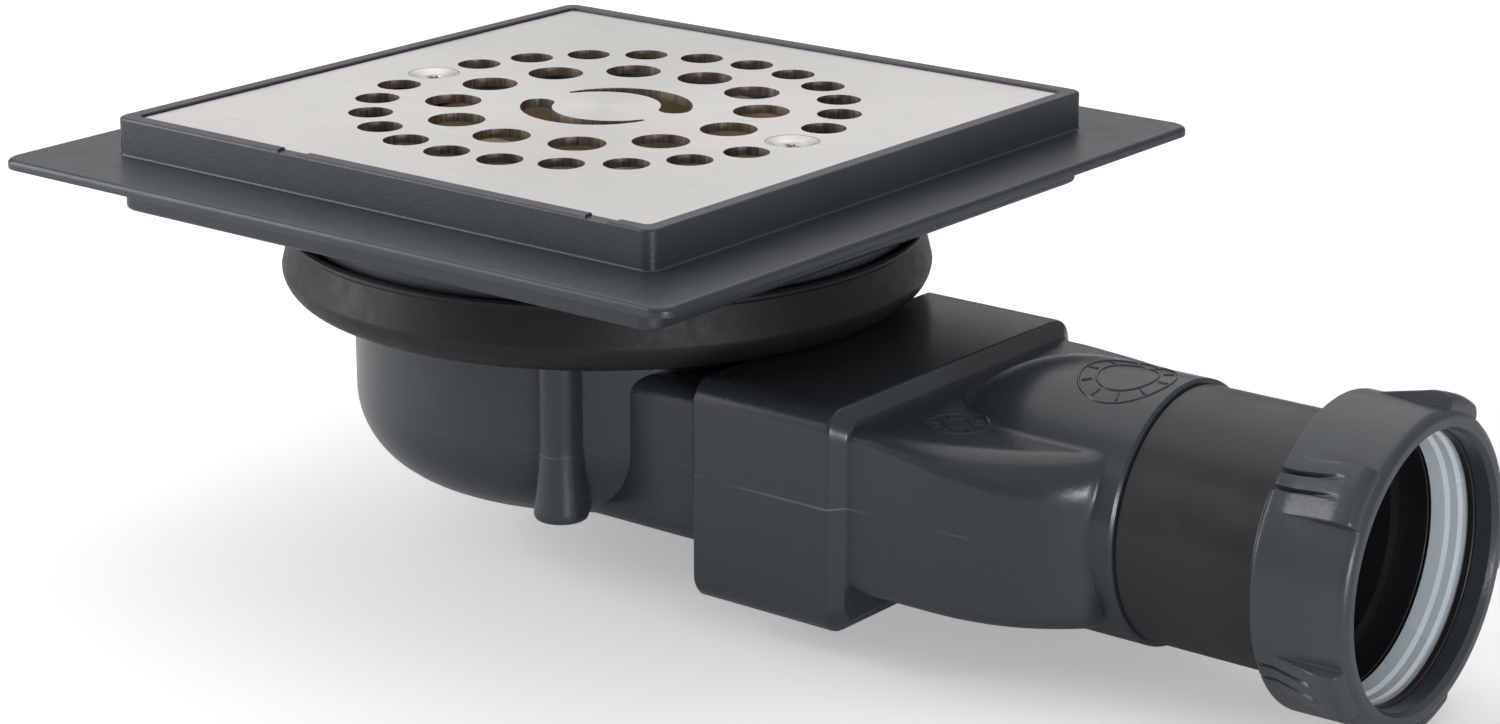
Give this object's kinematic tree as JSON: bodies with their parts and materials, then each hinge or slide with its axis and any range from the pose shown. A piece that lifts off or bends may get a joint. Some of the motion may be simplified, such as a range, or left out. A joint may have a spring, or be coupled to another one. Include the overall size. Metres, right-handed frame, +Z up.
{
  "type": "floor drain grate",
  "caption": "Square floor drain with perforated stainless grate, tiling flange, removable trap cup and horizontal compression outlet.",
  "frame": {"origin": "centre of the grate's top face, at finished floor level", "axes": "+Z up out of the floor, +X along the outlet pipe away from the bowl, +Y to the left of the outlet seen from above with +X forward"},
  "size_m": [0.228, 0.142, 0.0741],
  "materials": {
    "grey_abs": "satin moulded ABS, anthracite",
    "frame_abs": "satin moulded ABS, anthracite",
    "black_pipe": "satin extruded, near black",
    "black_rubber": "matt black rubber",
    "stainless": "fine brushed stainless steel",
    "screw_steel": "turned stainless steel",
    "zinc_screw": "bright zinc plated",
    "brass": "turned brass",
    "cream_pp": "satin cream polypropylene",
    "clear_seal": "milky translucent",
    "washer_pp": "black slip washer",
    "nut_pp": "anthracite polypropylene"
  },
  "bodies": {
    "drain_body": {"trap_bowl": "grey_abs", "rubber_collar": "black_rubber", "clamp_ring": "grey_abs", "clamp_screws": "zinc_screw", "spigot_seal": "black_rubber", "outlet_adapter": "grey_abs", "outlet_pipe": "black_pipe"},
    "neck_seal": {"neck_lip_seal": "black_rubber"},
    "frame": {"tile_frame": "frame_abs", "frame_neck": "frame_abs", "frame_inserts": "brass"},
    "grate": {"grate_plate": "stainless"},
    "screw_left": {"grate_screw_left": "screw_steel"},
    "screw_right": {"grate_screw_right": "screw_steel"},
    "trap_unit": {"trap_ring": "cream_pp", "dip_tube": "cream_pp", "trap_cup": "cream_pp", "trap_o_ring": "black_rubber"},
    "seal_pack": {"cone_seal": "clear_seal", "thrust_washer": "washer_pp"},
    "nut": {"compression_nut": "nut_pp"}
  },
  "joints": [
    {"name": "frame_height", "type": "slide", "parent": "drain_body", "child": "neck_seal", "axis": [0, 0, 1], "range_m": [0, 0.008]},
    {"name": "frame_turn", "type": "hinge", "parent": "neck_seal", "child": "frame", "pos_m": [0, 0, 0], "axis": [0, 0, 1], "continuous": true},
    {"name": "grate_lift", "type": "slide", "parent": "frame", "child": "grate", "axis": [0, 0, 1], "range_m": [0, 0.13]},
    {"name": "screw_left_turn", "type": "hinge", "parent": "grate", "child": "screw_left", "pos_m": [-0.0393, 0, 0], "axis": [0, 0, 1], "continuous": true},
    {"name": "screw_right_turn", "type": "hinge", "parent": "grate", "child": "screw_right", "pos_m": [0.0393, 0, 0], "axis": [0, 0, 1], "continuous": true},
    {"name": "trap_lift", "type": "slide", "parent": "frame", "child": "trap_unit", "axis": [0, 0, 1], "range_m": [0, 0.065]},
    {"name": "seal_back_off", "type": "slide", "parent": "drain_body", "child": "seal_pack", "axis": [1, 0, 0], "range_m": [0, 0.012]},
    {"name": "nut_turn", "type": "hinge", "parent": "seal_pack", "child": "nut", "pos_m": [0.15, 0, -0.0467], "axis": [1, 0, 0], "range_deg": [0, 1440]}
  ],
  "couplings": [
    {"joint": "trap_lift", "follows": "grate_lift", "ratio": 0.5},
    {"joint": "seal_back_off", "follows": "nut_turn", "m_per_rad": 0.00047746}
  ]
}
